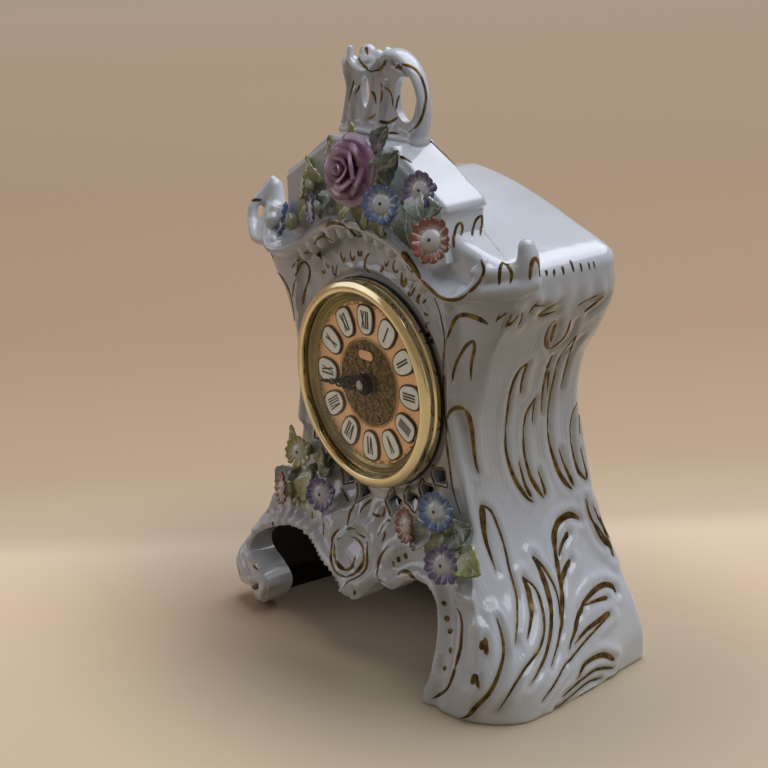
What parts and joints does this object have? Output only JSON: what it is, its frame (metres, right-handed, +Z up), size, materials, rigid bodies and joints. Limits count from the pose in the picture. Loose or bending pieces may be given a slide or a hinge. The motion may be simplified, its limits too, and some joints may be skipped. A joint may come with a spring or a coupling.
{
  "type": "mantel clock",
  "caption": "Rococo porcelain mantel clock with scroll feet, a shell crest, applied flowers and a round gilt clock insert driven by a battery movement.",
  "frame": {"origin": "on the ground plane, under the middle of the overall box", "axes": "+Z up, the dial faces -Y, +X to the viewer's right"},
  "size_m": [0.2179, 0.112, 0.2934],
  "materials": {
    "porcelain": "clear-glazed white hard-paste porcelain, opaque",
    "glaze_pink": "hand-painted dusky pink overglaze on porcelain",
    "glaze_blue": "hand-painted blue overglaze on porcelain",
    "glaze_violet": "hand-painted violet overglaze on porcelain",
    "glaze_orange": "hand-painted rust overglaze on porcelain",
    "glaze_yellow": "hand-painted yellow overglaze on porcelain",
    "glaze_leaf": "hand-painted green overglaze on porcelain",
    "gilt_brass": "polished and lacquered brass",
    "copper_tone": "copper-toned metal",
    "enamel_white": "white enamelled metal",
    "black_steel": "black-lacquered steel",
    "spring_steel": "plain steel sheet and wire",
    "crystal_glass": "clear domed glass",
    "black_rubber": "black rubber",
    "black_plastic": "fine-textured black moulded plastic",
    "white_plastic": "white moulded plastic",
    "battery_jacket": "plain printed sleeve over a steel can",
    "board_green": "glass-fibre circuit board with green resist"
  },
  "bodies": {
    "clock_case": {"case_body": "porcelain", "pediment": "porcelain", "crest": "porcelain", "rose_petals": "glaze_pink", "rose_heart": "glaze_pink", "top_blue_daisy": "glaze_blue", "left_blue_daisy": "glaze_blue", "base_blue_daisy": "glaze_blue", "top_violet_daisy": "glaze_violet", "left_violet_daisy": "glaze_violet", "lower_violet_daisy": "glaze_violet", "base_violet_daisy": "glaze_violet", "top_orange_daisy": "glaze_orange", "lower_rust_daisy": "glaze_orange", "base_rust_daisy": "glaze_orange", "left_yellow_daisy": "glaze_yellow", "lower_yellow_daisy": "glaze_yellow", "top_leaves": "glaze_leaf", "lower_leaves": "glaze_leaf", "base_leaves": "glaze_leaf", "bezel": "gilt_brass", "rehaut": "gilt_brass", "dial_plate": "gilt_brass", "dial_border": "gilt_brass", "medallion": "gilt_brass", "fixing_nut": "gilt_brass", "blank_cartouche": "copper_tone", "coil": "copper_tone", "chapter_ring": "enamel_white", "insert_band": "spring_steel", "spring_clip_1": "spring_steel", "spring_clip_2": "spring_steel", "spring_clip_3": "spring_steel", "clip_screw_1": "spring_steel", "clip_screw_2": "spring_steel", "clip_screw_3": "spring_steel", "contact_plus": "spring_steel", "contact_minus": "spring_steel", "crystal": "crystal_glass", "gasket": "black_rubber", "dial_washer": "black_rubber", "movement_housing": "black_plastic", "rear_cover": "black_plastic", "battery": "battery_jacket", "circuit_board": "board_green"},
    "minute": {"minute_hand": "black_steel", "minute_arbor": "spring_steel", "hand_cap": "gilt_brass"},
    "hour": {"hour_hand": "black_steel", "hour_wheel": "gilt_brass"},
    "setting": {"minute_wheel": "gilt_brass", "setting_knob": "white_plastic"},
    "battery_door": {"battery_cover": "black_plastic"}
  },
  "joints": [
    {"name": "minute_turn", "type": "hinge", "parent": "clock_case", "child": "minute", "pos_m": [0, -0.03, 0.137], "axis": [0, 1, 0], "continuous": true},
    {"name": "hour_turn", "type": "hinge", "parent": "clock_case", "child": "hour", "pos_m": [0, -0.03, 0.137], "axis": [0, 1, 0], "continuous": true},
    {"name": "setting_turn", "type": "hinge", "parent": "clock_case", "child": "setting", "pos_m": [0.006, -0.02, 0.14739], "axis": [0, 1, 0], "continuous": true},
    {"name": "battery_door_slide", "type": "slide", "parent": "clock_case", "child": "battery_door", "axis": [1, 0, 0], "range_m": [0, 0.03]}
  ],
  "couplings": [
    {"joint": "hour_turn", "follows": "minute_turn", "ratio": 0.083333},
    {"joint": "setting_turn", "follows": "minute_turn", "ratio": -0.33333}
  ]
}
